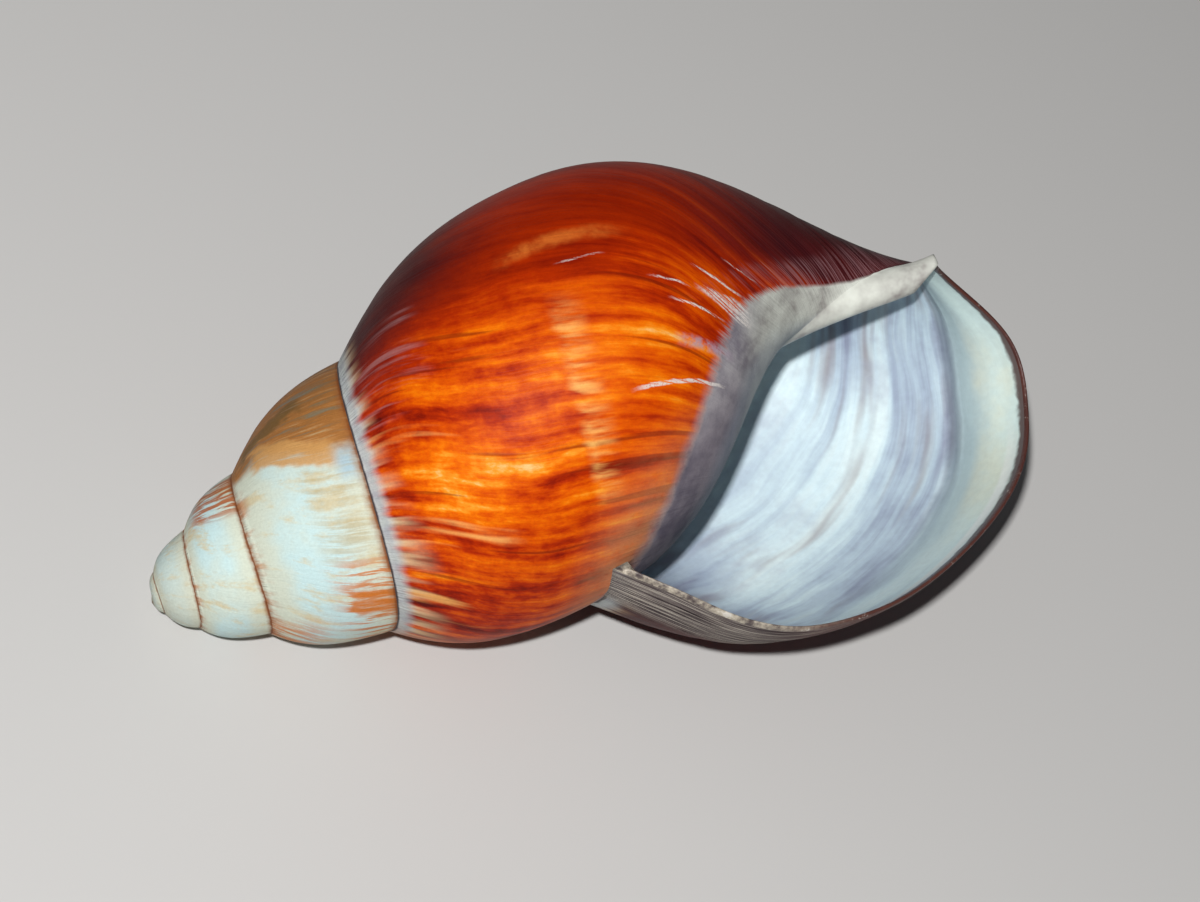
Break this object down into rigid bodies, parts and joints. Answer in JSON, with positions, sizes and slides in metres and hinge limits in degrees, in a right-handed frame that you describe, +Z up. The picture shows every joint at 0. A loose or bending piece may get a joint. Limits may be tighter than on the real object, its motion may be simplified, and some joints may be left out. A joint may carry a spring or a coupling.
{
  "type": "giant african snail shell",
  "caption": "Left-coiled giant land snail shell with a swollen last whorl, blunt cream spire, wide open mouth and thin lip, lying on its back.",
  "frame": {"origin": "centre of the bounding box in X and Y, at the plane the shell rests on", "axes": "+X from the apex toward the base, +Z up with the mouth open upward and toward -Y"},
  "size_m": [0.1386, 0.0842, 0.0688],
  "materials": {
    "shell": "natural shell: glossy red-brown and orange last whorl with cream streaks, cream-white worn spire, bluish-white inside"
  },
  "bodies": {
    "root": {"shell": "shell"}
  },
  "joints": []
}
